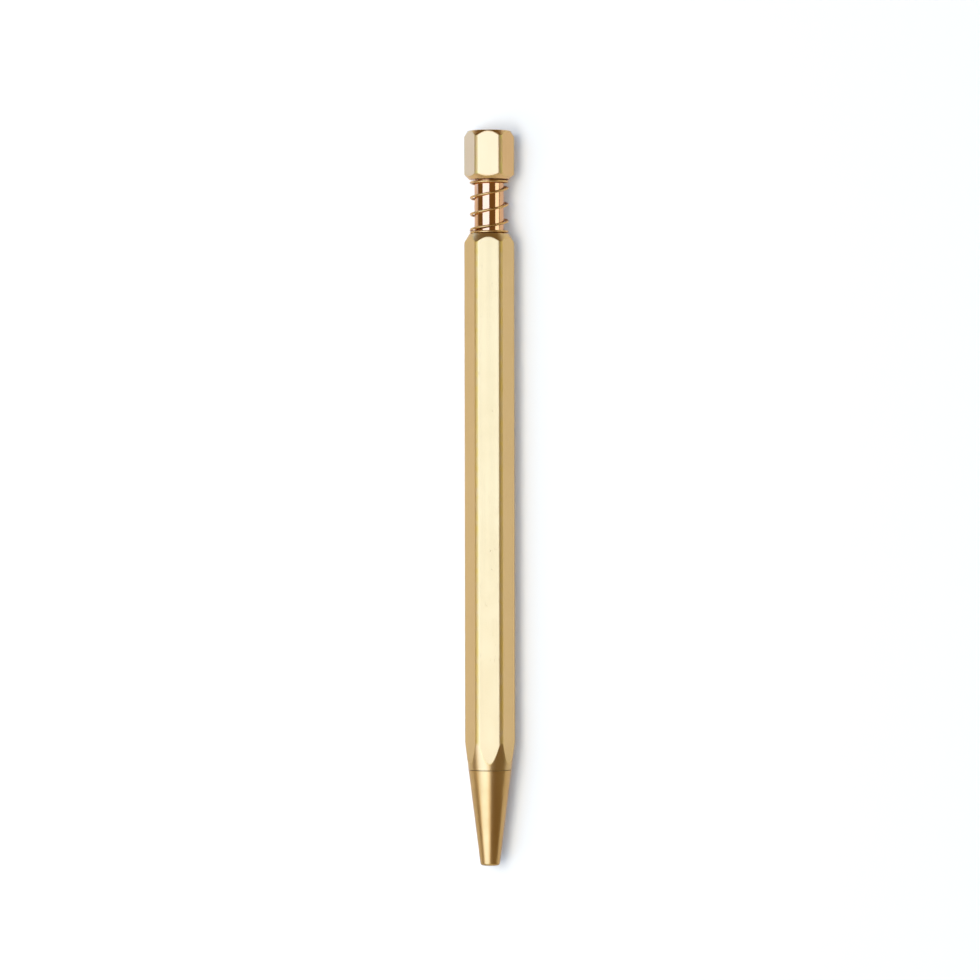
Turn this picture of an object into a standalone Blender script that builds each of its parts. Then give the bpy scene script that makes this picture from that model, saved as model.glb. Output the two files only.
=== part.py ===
"""Hexagonal brass ballpoint pen with an exposed knock spring, lying on one flat of its barrel.

Units are metres. The pen lies along +Y with its cap at +Y. Each piece is modelled upright, with Z along
the pen, and hangs on one empty that lays the pen down. A station is a distance from the mouth of the nose.
"""
import math

import bmesh
import bpy
from mathutils import Matrix, Vector

# Hexagonal bar that the barrel and the cap are cut from
HEX_ACROSS_FLATS = 0.0080
HEX_EDGE_RADIUS = 0.00080
HEX_CHAMFER_ANGLE = math.radians(30.0)

# Lengths along the pen, from the mouth to the cap
NOSE_LENGTH = 0.0171
SEAM_GAP = 0.00015
BARREL_LENGTH = 0.09635
KNOCK_GAP = 0.0098
CAP_LENGTH = 0.0087

# Taper that the nose and the foot of the barrel share
TAPER_HALF_ANGLE = math.radians(7.14)
NOSE_TIP_RADIUS = 0.00171
NOSE_LIP_RADIUS = 0.00030

# Flat round ends that the chamfers leave, and the blunter chamfer of the cap's foot
BARREL_FACE_RADIUS = 0.0036
CAP_TOP_RADIUS = 0.0039
CAP_FOOT_RADIUS = 0.0036
CAP_FOOT_ANGLE = math.radians(45.0)

# Clearances: running, pressed in, between stops, and around the lock pin
RUNNING_FIT = 0.00005
PRESSED_FIT = 0.00003
STOP_GAP = 0.00010
LOCK_FIT = 0.00010

# Barrel bore and the bush pressed into its top
BARREL_BORE = 0.0062
BUSH_LENGTH = 0.0030

# Screw thread between the nose and the barrel: a round ridge in a wider groove, above a plain relief
THREAD_PITCH = 0.00075
THREAD_DEPTH = 0.00027
THREAD_RIDGE_RADIUS = 0.00024
THREAD_FIT = 0.00010
THREAD_ROOT_GAP = 0.00012
RELIEF_LENGTH = 0.00135

# Knock: travel, turn to lock, rod, and the pin through its neck
KNOCK_STROKE = 0.0050
LOCK_TURN = math.radians(60.0)
LOCK_RISE = 0.0004
NOTCH_DEPTH = 0.0002
ROD_DIAMETER = 0.0053
COLLAR_LENGTH = 0.0012
NECK_DIAMETER = 0.0040
SOCKET_DEPTH = 0.0060
SOCKET_TO_PIN = 0.0038
STUD_DIAMETER = 0.0035
STUD_LENGTH = 0.0055
PIN_DIAMETER = 0.0012
PIN_LENGTH = 0.0053
PIN_END_BEVEL = 0.00012

# Knock spring around the rod
KNOCK_WIRE = 0.0005
KNOCK_COIL_RADIUS = 0.0033
KNOCK_ACTIVE_TURNS = 3.20
KNOCK_CLOSED_TURNS = 0.30
KNOCK_RAMP_TURNS = 0.50
KNOCK_FIRST_TURN = -0.91

# Nose: bores from the mouth upwards, and the spigot inside the barrel
MOUTH_LENGTH = 0.0042
WAIST_DIAMETER = 0.0035
CHAMBER_DIAMETER = 0.0047
CHAMBER_STATION = 0.0090
SPIGOT_LENGTH = 0.0078
SPIGOT_BEVEL = 0.00020
SEAL_STATION = 0.00035
SEAL_WIDTH = 0.00075
SEAL_DEPTH = 0.00036

# Refill
TIP_SETBACK = 0.0020
BALL_DIAMETER = 0.0010
BALL_FIT = 0.00005
LIP_REACH = 0.00025
LIP_WALL = 0.00014
NIB_DIAMETER = 0.0023
NIB_CONE_LENGTH = 0.0021
NIB_CHANNEL = 0.0007
NIB_HEAD_LENGTH = 0.0020
NIB_SHANK_LENGTH = 0.0040
REFILL_DIAMETER = 0.0032
REFILL_WALL = 0.00035
BEAD_STATION = 0.0240
BEAD_LENGTH = 0.0008
BEAD_DIAMETER = 0.0043
INK_LENGTH = 0.0680
PLUG_LENGTH = 0.0030
PLUG_VENT = 0.0006

# Return spring around the refill
RETURN_WIRE = 0.00036
RETURN_COIL_RADIUS = 0.00198
RETURN_ACTIVE_TURNS = 8.0
RETURN_CLOSED_TURNS = 0.20
RETURN_RAMP_TURNS = 0.50
RETURN_FIRST_TURN = 0.0

# Fineness of round shapes
TURN_STEPS = 48
SMALL_STEPS = 32
CURL_POINTS = 10
THREAD_POINTS = 20
EDGE_SEGMENTS = 4
LIP_SEGMENTS = 4
MERGE_DISTANCE = 0.000001
SMOOTH_ANGLE = math.radians(35.0)
CUT_MARGIN = 0.0010

# Stations and radii that follow from the sizes above
HEX_SIDES = 6
APOTHEM = HEX_ACROSS_FLATS / 2
CORNER_RADIUS = APOTHEM / math.cos(math.pi / HEX_SIDES)
BORE_RADIUS = BARREL_BORE / 2
ROD_RADIUS = ROD_DIAMETER / 2
REFILL_RADIUS = REFILL_DIAMETER / 2
NIB_RADIUS = NIB_DIAMETER / 2
BALL_RADIUS = BALL_DIAMETER / 2
PIN_RADIUS = PIN_DIAMETER / 2
REFILL_BORE_RADIUS = REFILL_RADIUS - REFILL_WALL
CHAMBER_RADIUS = CHAMBER_DIAMETER / 2
SPIGOT_RADIUS = BORE_RADIUS - THREAD_ROOT_GAP
SPIGOT_TOP = NOSE_LENGTH + SPIGOT_LENGTH
CREST_RADIUS = SPIGOT_RADIUS + THREAD_DEPTH
RELIEF_RADIUS = CREST_RADIUS + RUNNING_FIT
SEAL_FLOOR_RADIUS = SPIGOT_RADIUS - SEAL_DEPTH
KEYWAY_REACH = PIN_LENGTH / 2 + LOCK_FIT
PIN_BORE_RADIUS = PIN_RADIUS + LOCK_FIT
SLEEVE_LENGTH = KNOCK_STROKE - PIN_DIAMETER - LOCK_FIT - LOCK_RISE
BARREL_STATION = NOSE_LENGTH + SEAM_GAP
BARREL_TOP = BARREL_STATION + BARREL_LENGTH
SEAL_BOTTOM = BARREL_STATION + SEAL_STATION
THREAD_BOTTOM = BARREL_STATION + RELIEF_LENGTH
CAP_STATION = BARREL_TOP + KNOCK_GAP
PEN_LENGTH = CAP_STATION + CAP_LENGTH
BUSH_STATION = BARREL_TOP - BUSH_LENGTH
COLLAR_STATION = BUSH_STATION - STOP_GAP - COLLAR_LENGTH
SLEEVE_TOP = COLLAR_STATION - KNOCK_STROKE - 2 * STOP_GAP
SLEEVE_STATION = SLEEVE_TOP - SLEEVE_LENGTH
PIN_STATION = SLEEVE_TOP + LOCK_FIT + PIN_RADIUS
SOCKET_TOP = PIN_STATION - SOCKET_TO_PIN
NECK_STATION = SOCKET_TOP - SOCKET_DEPTH
REFILL_END = SOCKET_TOP - STOP_GAP
BALL_STATION = TIP_SETBACK + BALL_RADIUS
NIB_SHOULDER = MOUTH_LENGTH + KNOCK_STROKE + 2 * STOP_GAP
NIB_HEAD_STATION = NIB_SHOULDER + REFILL_RADIUS - NIB_RADIUS
TUBE_STATION = NIB_HEAD_STATION + NIB_HEAD_LENGTH
SHANK_TOP = TUBE_STATION + NIB_SHANK_LENGTH

# Finishes: linear red, green and blue, metallic value and roughness
BAR_BRASS = ((0.62, 0.45, 0.21), 1.0, 0.22)
CAP_BRASS = ((0.62, 0.48, 0.27), 1.0, 0.18)
NOSE_BRASS = ((0.58, 0.41, 0.18), 1.0, 0.32)
ROD_BRASS = ((0.66, 0.45, 0.24), 1.0, 0.12)
PLAIN_BRASS = ((0.55, 0.40, 0.18), 1.0, 0.35)
BRONZE_WIRE = ((0.54, 0.31, 0.17), 1.0, 0.20)
PIN_STEEL = ((0.56, 0.57, 0.58), 1.0, 0.30)
SPRING_STEEL = ((0.56, 0.57, 0.58), 1.0, 0.25)
BALL_STEEL = ((0.56, 0.57, 0.58), 1.0, 0.10)
TUBE_METAL = ((0.62, 0.58, 0.50), 1.0, 0.30)
NIB_METAL = ((0.62, 0.58, 0.50), 1.0, 0.25)
BLACK_RUBBER = ((0.012, 0.012, 0.012), 0.0, 0.60)
BLACK_INK = ((0.006, 0.006, 0.010), 0.0, 0.30)
PALE_PLASTIC = ((0.72, 0.72, 0.70), 0.0, 0.45)


def clear_scene():
    """Remove what the scene holds."""
    for obj in list(bpy.data.objects):
        bpy.data.objects.remove(obj, do_unlink=True)


def new_collection(name):
    """A collection linked to the scene."""
    collection = bpy.data.collections.new(name)
    bpy.context.scene.collection.children.link(collection)
    return collection


def lay_down():
    """The empty that carries every piece: its Z runs along the pen, from the mouth to the cap."""
    axis = bpy.data.objects.new("pen_axis", None)
    axis.location = (0.0, -PEN_LENGTH / 2, APOTHEM)
    axis.rotation_euler = (-math.pi / 2, 0.0, 0.0)
    return axis


class Bench:
    """Where pieces and cutters are put: their collections and the empty that they hang on."""

    def __init__(self):
        self.parts = new_collection("ballpoint_pen")
        self.cutters = new_collection("pen_cutters")
        self.axis = lay_down()
        self.parts.objects.link(self.axis)

    def add(self, obj, station, finish):
        """Put a piece at its station and give it its own material."""
        colour, metallic, roughness = finish
        self.parts.objects.link(obj)
        obj.parent = self.axis
        obj.location = (0.0, 0.0, station)
        material = bpy.data.materials.new(obj.name + "_finish")
        material.use_nodes = True
        shader = material.node_tree.nodes["Principled BSDF"]
        shader.inputs["Base Color"].default_value = (*colour, 1.0)
        shader.inputs["Metallic"].default_value = metallic
        shader.inputs["Roughness"].default_value = roughness
        obj.data.materials.append(material)
        return obj

    def cut(self, target, cutter, station, operation="DIFFERENCE"):
        """Cut a piece with a cutter, keep only what lies inside it, or join the two."""
        self.cutters.objects.link(cutter)
        cutter.parent = self.axis
        cutter.location = (0.0, 0.0, station)
        cutter.hide_render = True
        cutter.display_type = "WIRE"
        boolean = target.modifiers.new(cutter.name, "BOOLEAN")
        boolean.operation = operation
        boolean.object = cutter


def taper_radius(station):
    """Radius of the shared taper at a station."""
    return NOSE_TIP_RADIUS + station * math.tan(TAPER_HALF_ANGLE)


def arc(centre, radius, start, end, segments):
    """Points of an arc in a profile, between two angles counted from the outward direction."""
    angles = [start + (end - start) * i / segments for i in range(segments + 1)]
    return [(centre[0] + radius * math.cos(a), centre[1] + radius * math.sin(a)) for a in angles]


def shade_round(mesh):
    """Shade a mesh smooth, with its sharp edges kept."""
    mesh.shade_smooth()
    mesh.set_sharp_from_angle(angle=SMOOTH_ANGLE)


def turned(name, profile, steps=TURN_STEPS):
    """Turn a profile of (radius, height) points that runs down its outer side about Z.

    A profile that starts and ends on the axis is left open there. Any other is closed into a ring.
    """
    on_axis = profile[0][0] == 0.0 and profile[-1][0] == 0.0
    count = len(profile)
    edges = [(i, i + 1) for i in range(count - 1)]
    if not on_axis:
        edges.append((count - 1, 0))
    mesh = bpy.data.meshes.new(name)
    mesh.from_pydata([(r, 0.0, z) for r, z in profile], edges, [])
    obj = bpy.data.objects.new(name, mesh)
    screw = obj.modifiers.new("Turn", "SCREW")
    screw.axis = "Z"
    screw.angle = 2 * math.pi
    screw.steps = steps
    screw.render_steps = steps
    screw.use_merge_vertices = True
    screw.merge_threshold = MERGE_DISTANCE
    screw.use_smooth_shade = True
    return obj


def solid_profile(radius, bottom, top):
    """Profile of a plain solid cylinder."""
    return [(0.0, top), (radius, top), (radius, bottom), (0.0, bottom)]


def ring_profile(outer, inner, bottom, top):
    """Profile of a plain tube."""
    return [(outer, top), (outer, bottom), (inner, bottom), (inner, top)]


def hex_bar(name, length):
    """A hexagonal bar standing on Z, with two flats facing Y and its long edges rounded."""
    bm = bmesh.new()
    bmesh.ops.create_cone(
        bm, cap_ends=True, segments=HEX_SIDES, radius1=CORNER_RADIUS, radius2=CORNER_RADIUS, depth=length
    )
    half_side = Matrix.Rotation(math.pi / HEX_SIDES, 4, "Z")
    bmesh.ops.transform(bm, matrix=Matrix.Translation((0.0, 0.0, length / 2)) @ half_side, verts=bm.verts)
    weight = bm.edges.layers.float.new("bevel_weight_edge")
    for edge in bm.edges:
        along = edge.verts[0].co - edge.verts[1].co
        edge[weight] = 1.0 if abs(along.z) > length / 2 else 0.0
    mesh = bpy.data.meshes.new(name)
    bm.to_mesh(mesh)
    bm.free()
    obj = bpy.data.objects.new(name, mesh)
    bevel = obj.modifiers.new("Edges", "BEVEL")
    bevel.limit_method = "WEIGHT"
    bevel.width = HEX_EDGE_RADIUS * math.tan(math.pi / HEX_SIDES)
    bevel.segments = EDGE_SEGMENTS
    return obj


def cross_cylinder(name, radius, length, turn=0.0):
    """A cylinder that lies across the pen, along X before its turn about the pen."""
    bm = bmesh.new()
    bmesh.ops.create_cone(
        bm, cap_ends=True, segments=SMALL_STEPS, radius1=radius, radius2=radius, depth=length
    )
    across = Matrix.Rotation(math.pi / 2, 4, "Y")
    bmesh.ops.transform(bm, matrix=Matrix.Rotation(turn, 4, "Z") @ across, verts=bm.verts)
    mesh = bpy.data.meshes.new(name)
    bm.to_mesh(mesh)
    bm.free()
    return bpy.data.objects.new(name, mesh)


def cross_box(name, length, width, height):
    """A box that lies across the pen along X."""
    bm = bmesh.new()
    bmesh.ops.create_cube(bm, size=1.0)
    bmesh.ops.scale(bm, vec=(length, width, height), verts=bm.verts)
    mesh = bpy.data.meshes.new(name)
    bm.to_mesh(mesh)
    bm.free()
    return bpy.data.objects.new(name, mesh)


def coil_rise(turn, active, closed, ramp):
    """Share of a coil's height at a turn: flat closed ends, with the pitch growing over each ramp."""
    past = min(max(turn - closed, 0.0), active + ramp)
    if past < ramp:
        climbed = past * past / (2 * ramp)
    elif past <= active:
        climbed = past - ramp / 2
    else:
        left = active + ramp - past
        climbed = active - left * left / (2 * ramp)
    return climbed / active


def coil_points(radius, height, active, closed, ramp, first_turn):
    """Points up a right-handed coil. Turns count from the top flat of the pen as it lies."""
    turns = 2 * closed + active + ramp
    count = round(turns * CURL_POINTS)
    points = []
    for i in range(count + 1):
        turn = turns * i / count
        angle = 2 * math.pi * (first_turn + turn)
        climb = height * coil_rise(turn, active, closed, ramp)
        points.append(Vector((radius * math.sin(angle), -radius * math.cos(angle), climb)))
    return points


def least_gap(points, wire):
    """Least gap of a coil's wire to itself, between points over half a turn apart."""
    apart = CURL_POINTS // 2 + 1
    pairs = ((points[i], points[j]) for i in range(len(points)) for j in range(i + apart, len(points)))
    return min((a - b).length for a, b in pairs) - wire


def round_wire(name, points, radius, resolution):
    """One unbroken round wire through points, as a curve object with filled ends."""
    curve = bpy.data.curves.new(name, "CURVE")
    curve.dimensions = "3D"
    curve.twist_mode = "Z_UP"
    curve.bevel_depth = radius
    curve.bevel_resolution = resolution
    curve.use_fill_caps = True
    spline = curve.splines.new("POLY")
    spline.points.add(len(points) - 1)
    for spot, point in zip(spline.points, points):
        spot.co = (*point, 1.0)
    return bpy.data.objects.new(name, curve)


def coil_spring(name, points, wire):
    """A spring through the points of its coil."""
    print(f"{name}: least gap of the wire to itself {least_gap(points, wire) * 1000:.2f} mm")
    return round_wire(name, points, wire / 2, 1)


def thread_wire(name, radius, bottom, top):
    """A right-handed thread's ridge or groove between two stations, as a mesh that can cut or join.

    Its angle follows the station alone, so a ridge and a groove of one thread line up.
    """
    step = THREAD_PITCH / THREAD_POINTS
    first = math.ceil((bottom - THREAD_BOTTOM) / step)
    last = math.floor((top - THREAD_BOTTOM) / step)
    middle = CREST_RADIUS - THREAD_RIDGE_RADIUS
    points = []
    for i in range(first, last + 1):
        angle = 2 * math.pi * i / THREAD_POINTS
        points.append(Vector((middle * math.sin(angle), -middle * math.cos(angle), THREAD_BOTTOM + i * step)))
    wire = round_wire(name + "_path", points, radius, 2)
    bpy.context.scene.collection.objects.link(wire)
    evaluated = wire.evaluated_get(bpy.context.evaluated_depsgraph_get())
    mesh = bpy.data.meshes.new_from_object(evaluated)
    bpy.data.objects.remove(wire, do_unlink=True)
    bm = bmesh.new()
    bm.from_mesh(mesh)
    bmesh.ops.remove_doubles(bm, verts=bm.verts, dist=MERGE_DISTANCE)
    bm.to_mesh(mesh)
    bm.free()
    mesh.name = name
    return bpy.data.objects.new(name, mesh)


def make_barrel(bench):
    """Hexagonal tube, turned to the taper at its foot and chamfered at its top."""
    barrel = bench.add(hex_bar("barrel", BARREL_LENGTH), BARREL_STATION, BAR_BRASS)
    clear = CORNER_RADIUS + CUT_MARGIN
    foot = taper_radius(BARREL_STATION)
    taper_top = (clear - foot) / math.tan(TAPER_HALF_ANGLE)
    chamfer = (clear - BARREL_FACE_RADIUS) / math.tan(HEX_CHAMFER_ANGLE)
    envelope = [
        (0.0, BARREL_LENGTH),
        (BARREL_FACE_RADIUS, BARREL_LENGTH),
        (clear, BARREL_LENGTH - chamfer),
        (clear, taper_top),
        (foot, 0.0),
        (0.0, 0.0),
    ]
    bench.cut(barrel, turned("barrel_envelope", envelope), BARREL_STATION, "INTERSECT")
    bore = [
        (0.0, BARREL_LENGTH + CUT_MARGIN),
        (BORE_RADIUS, BARREL_LENGTH + CUT_MARGIN),
        (BORE_RADIUS, RELIEF_LENGTH + RELIEF_RADIUS - BORE_RADIUS),
        (RELIEF_RADIUS, RELIEF_LENGTH),
        (RELIEF_RADIUS, -CUT_MARGIN),
        (0.0, -CUT_MARGIN),
    ]
    bench.cut(barrel, turned("barrel_bore", bore), BARREL_STATION)
    groove = thread_wire("barrel_thread", THREAD_RIDGE_RADIUS + THREAD_FIT, THREAD_BOTTOM, SPIGOT_TOP)
    bench.cut(barrel, groove, 0.0)


def make_guide_bush(bench):
    """Bush pressed into the top of the barrel, which guides the rod."""
    profile = ring_profile(BORE_RADIUS - PRESSED_FIT, ROD_RADIUS + RUNNING_FIT, 0.0, BUSH_LENGTH)
    bench.add(turned("guide_bush", profile), BUSH_STATION, PLAIN_BRASS)


def make_lock_sleeve(bench):
    """Sleeve in the barrel with two keyways for the pin, and two notches below that hold it turned."""
    profile = ring_profile(BORE_RADIUS - PRESSED_FIT, NECK_DIAMETER / 2 + LOCK_FIT, 0.0, SLEEVE_LENGTH)
    sleeve = bench.add(turned("lock_sleeve", profile), SLEEVE_STATION, PLAIN_BRASS)
    keyway = cross_box("sleeve_keyway", 2 * KEYWAY_REACH, 2 * PIN_BORE_RADIUS, SLEEVE_LENGTH + 2 * CUT_MARGIN)
    bench.cut(sleeve, keyway, SLEEVE_STATION + SLEEVE_LENGTH / 2)
    notch = cross_cylinder("sleeve_notch", PIN_BORE_RADIUS, 2 * KEYWAY_REACH, LOCK_TURN)
    bench.cut(sleeve, notch, SLEEVE_STATION - PIN_BORE_RADIUS + NOTCH_DEPTH)


def make_knock_cap(bench):
    """Hexagonal cap, chamfered at both ends, with a blind bore for the stud of the rod."""
    cap = bench.add(hex_bar("knock_cap", CAP_LENGTH), CAP_STATION, CAP_BRASS)
    clear = CORNER_RADIUS + CUT_MARGIN
    top = (clear - CAP_TOP_RADIUS) / math.tan(HEX_CHAMFER_ANGLE)
    foot = (clear - CAP_FOOT_RADIUS) / math.tan(CAP_FOOT_ANGLE)
    envelope = [
        (0.0, CAP_LENGTH),
        (CAP_TOP_RADIUS, CAP_LENGTH),
        (clear, CAP_LENGTH - top),
        (clear, foot),
        (CAP_FOOT_RADIUS, 0.0),
        (0.0, 0.0),
    ]
    bench.cut(cap, turned("cap_envelope", envelope), CAP_STATION, "INTERSECT")
    bore = solid_profile(STUD_DIAMETER / 2 + PRESSED_FIT, -CUT_MARGIN, STUD_LENGTH)
    bench.cut(cap, turned("cap_bore", bore), CAP_STATION)


def make_knock_rod(bench):
    """Turned rod: stud in the cap, polished shaft, stop collar, and a neck with a socket for the refill."""
    stud = STUD_DIAMETER / 2
    neck = NECK_DIAMETER / 2
    collar = BORE_RADIUS - RUNNING_FIT
    socket = REFILL_RADIUS + RUNNING_FIT
    profile = [
        (0.0, CAP_STATION + STUD_LENGTH - STOP_GAP),
        (stud, CAP_STATION + STUD_LENGTH - STOP_GAP),
        (stud, CAP_STATION - STOP_GAP),
        (ROD_RADIUS, CAP_STATION - STOP_GAP),
        (ROD_RADIUS, COLLAR_STATION + COLLAR_LENGTH),
        (collar, COLLAR_STATION + COLLAR_LENGTH),
        (collar, COLLAR_STATION),
        (neck, COLLAR_STATION),
        (neck, NECK_STATION),
        (socket, NECK_STATION),
        (socket, SOCKET_TOP),
        (0.0, SOCKET_TOP),
    ]
    own = [(r, z - NECK_STATION) for r, z in profile]
    rod = bench.add(turned("knock_rod", own), NECK_STATION, ROD_BRASS)
    hole = cross_cylinder("rod_pin_hole", PIN_RADIUS + PRESSED_FIT, NECK_DIAMETER + 2 * CUT_MARGIN)
    bench.cut(rod, hole, PIN_STATION)


def make_lock_pin(bench):
    """Pin pressed across the neck of the rod, whose ends are the lugs of the lock."""
    pin = bench.add(cross_cylinder("lock_pin", PIN_RADIUS, PIN_LENGTH), PIN_STATION, PIN_STEEL)
    bevel = pin.modifiers.new("Ends", "BEVEL")
    bevel.width = PIN_END_BEVEL
    bevel.segments = 1
    bevel.limit_method = "ANGLE"
    bevel.angle_limit = SMOOTH_ANGLE


def make_knock_spring(bench):
    """The exposed spring between the barrel and the cap."""
    height = KNOCK_GAP - KNOCK_WIRE - 2 * STOP_GAP
    points = coil_points(
        KNOCK_COIL_RADIUS, height, KNOCK_ACTIVE_TURNS, KNOCK_CLOSED_TURNS, KNOCK_RAMP_TURNS, KNOCK_FIRST_TURN
    )
    spring = coil_spring("knock_spring", points, KNOCK_WIRE)
    bench.add(spring, BARREL_TOP + STOP_GAP + KNOCK_WIRE / 2, BRONZE_WIRE)


def make_nose_cone(bench):
    """Turned nose: rounded lip, stepped bore, and a threaded spigot that screws into the barrel."""
    slope = math.tan(TAPER_HALF_ANGLE)
    lip_middle = NOSE_TIP_RADIUS + NOSE_LIP_RADIUS * (slope - 1 / math.cos(TAPER_HALF_ANGLE))
    lip = arc((lip_middle, NOSE_LIP_RADIUS), NOSE_LIP_RADIUS, -TAPER_HALF_ANGLE, -math.pi / 2, LIP_SEGMENTS)
    mouth = NIB_RADIUS + RUNNING_FIT
    waist = WAIST_DIAMETER / 2
    profile = [
        (SPIGOT_RADIUS - SPIGOT_BEVEL, SPIGOT_TOP),
        (SPIGOT_RADIUS, SPIGOT_TOP - SPIGOT_BEVEL),
        (SPIGOT_RADIUS, SEAL_BOTTOM + SEAL_WIDTH),
        (SEAL_FLOOR_RADIUS, SEAL_BOTTOM + SEAL_WIDTH),
        (SEAL_FLOOR_RADIUS, SEAL_BOTTOM),
        (SPIGOT_RADIUS, SEAL_BOTTOM),
        (SPIGOT_RADIUS, NOSE_LENGTH),
        (taper_radius(NOSE_LENGTH), NOSE_LENGTH),
        *lip,
        (mouth, 0.0),
        (mouth, MOUTH_LENGTH),
        (waist, MOUTH_LENGTH + waist - mouth),
        (waist, CHAMBER_STATION),
        (CHAMBER_RADIUS, CHAMBER_STATION),
        (CHAMBER_RADIUS, SPIGOT_TOP),
    ]
    nose = bench.add(turned("nose_cone", profile), 0.0, NOSE_BRASS)
    ridge_bottom = THREAD_BOTTOM + THREAD_RIDGE_RADIUS
    ridge_top = SPIGOT_TOP - SPIGOT_BEVEL - THREAD_RIDGE_RADIUS
    ridge = thread_wire("nose_thread", THREAD_RIDGE_RADIUS, ridge_bottom, ridge_top)
    bench.cut(nose, ridge, 0.0, "UNION")


def make_nose_o_ring(bench):
    """Rubber ring in the groove of the spigot, which keeps the nose from working loose."""
    cord = (RELIEF_RADIUS - SEAL_FLOOR_RADIUS) / 2 - RUNNING_FIT
    middle = (RELIEF_RADIUS + SEAL_FLOOR_RADIUS) / 2
    bpy.ops.mesh.primitive_torus_add(
        major_radius=middle, minor_radius=cord, major_segments=TURN_STEPS, minor_segments=CURL_POINTS
    )
    ring = bpy.context.object
    ring.name = "nose_o_ring"
    for collection in list(ring.users_collection):
        collection.objects.unlink(ring)
    shade_round(ring.data)
    bench.add(ring, SEAL_BOTTOM + SEAL_WIDTH / 2, BLACK_RUBBER)


def make_refill_spring(bench):
    """The spring that pushes the refill back, from its seat in the nose to the bead of the refill."""
    height = BEAD_STATION - CHAMBER_STATION - RETURN_WIRE - 2 * STOP_GAP
    points = coil_points(
        RETURN_COIL_RADIUS,
        height,
        RETURN_ACTIVE_TURNS,
        RETURN_CLOSED_TURNS,
        RETURN_RAMP_TURNS,
        RETURN_FIRST_TURN,
    )
    spring = coil_spring("refill_spring", points, RETURN_WIRE)
    bench.add(spring, CHAMBER_STATION + STOP_GAP + RETURN_WIRE / 2, SPRING_STEEL)


def make_refill_tube(bench):
    """Thin tube that holds the ink, with a rolled bead for the spring to bear on."""
    bead = BEAD_DIAMETER / 2
    profile = [
        (REFILL_RADIUS, REFILL_END),
        (REFILL_RADIUS, BEAD_STATION + BEAD_LENGTH),
        (bead, BEAD_STATION + BEAD_LENGTH),
        (bead, BEAD_STATION),
        (REFILL_RADIUS, BEAD_STATION),
        (REFILL_RADIUS, TUBE_STATION + STOP_GAP),
        (REFILL_BORE_RADIUS, TUBE_STATION + STOP_GAP),
        (REFILL_BORE_RADIUS, REFILL_END),
    ]
    own = [(r, z - TUBE_STATION) for r, z in profile]
    bench.add(turned("refill_tube", own, SMALL_STEPS), TUBE_STATION, TUBE_METAL)


def make_refill_nib(bench):
    """Writing point: lip around the ball, cone, long nose, head, and a shank in the tube."""
    lip_bottom = BALL_STATION - LIP_REACH
    seat = BALL_RADIUS + BALL_FIT
    lip = math.sqrt(BALL_RADIUS**2 - LIP_REACH**2) + BALL_FIT
    channel = NIB_CHANNEL / 2
    shank = REFILL_BORE_RADIUS - PRESSED_FIT
    profile = [
        (shank, SHANK_TOP),
        (shank, TUBE_STATION),
        (REFILL_RADIUS, TUBE_STATION),
        (REFILL_RADIUS, NIB_HEAD_STATION),
        (NIB_RADIUS, NIB_SHOULDER),
        (NIB_RADIUS, lip_bottom + NIB_CONE_LENGTH),
        (lip + LIP_WALL, lip_bottom),
        (lip, lip_bottom),
        (seat, BALL_STATION),
        (seat, BALL_STATION + BALL_RADIUS / 2),
        (channel, BALL_STATION + seat),
        (channel, SHANK_TOP),
    ]
    own = [(r, z - BALL_STATION) for r, z in profile]
    bench.add(turned("refill_nib", own, SMALL_STEPS), BALL_STATION, NIB_METAL)


def make_refill_ball(bench):
    """The ball of the point."""
    bm = bmesh.new()
    bmesh.ops.create_uvsphere(bm, u_segments=SMALL_STEPS // 2, v_segments=CURL_POINTS, radius=BALL_RADIUS)
    mesh = bpy.data.meshes.new("refill_ball")
    bm.to_mesh(mesh)
    bm.free()
    shade_round(mesh)
    bench.add(bpy.data.objects.new("refill_ball", mesh), BALL_STATION, BALL_STEEL)


def make_refill_ink(bench):
    """The column of ink above the shank of the point."""
    profile = solid_profile(REFILL_BORE_RADIUS - RUNNING_FIT, 0.0, INK_LENGTH)
    bench.add(turned("refill_ink", profile, SMALL_STEPS), SHANK_TOP + STOP_GAP, BLACK_INK)


def make_refill_plug(bench):
    """Vented plug in the rear end of the refill."""
    profile = ring_profile(REFILL_BORE_RADIUS - PRESSED_FIT, PLUG_VENT / 2, 0.0, PLUG_LENGTH)
    bench.add(turned("refill_plug", profile, SMALL_STEPS), REFILL_END - PLUG_LENGTH, PALE_PLASTIC)


def main():
    """Build the pen, piece by piece."""
    clear_scene()
    bench = Bench()
    make_barrel(bench)
    make_guide_bush(bench)
    make_lock_sleeve(bench)
    make_knock_cap(bench)
    make_knock_rod(bench)
    make_lock_pin(bench)
    make_knock_spring(bench)
    make_nose_cone(bench)
    make_nose_o_ring(bench)
    make_refill_spring(bench)
    make_refill_tube(bench)
    make_refill_nib(bench)
    make_refill_ball(bench)
    make_refill_ink(bench)
    make_refill_plug(bench)


main()
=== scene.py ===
"""Looks of the hexagonal brass ballpoint pen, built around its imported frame.

The pen lies along +Y with its cap at +Y and one flat on the floor. A station is a distance from the mouth of
the nose, measured along the pen, and a turn is one time round the pen axis, counted from the top flat.
"""
import math

import bmesh
import bpy
from mathutils import Matrix, Vector


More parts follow.
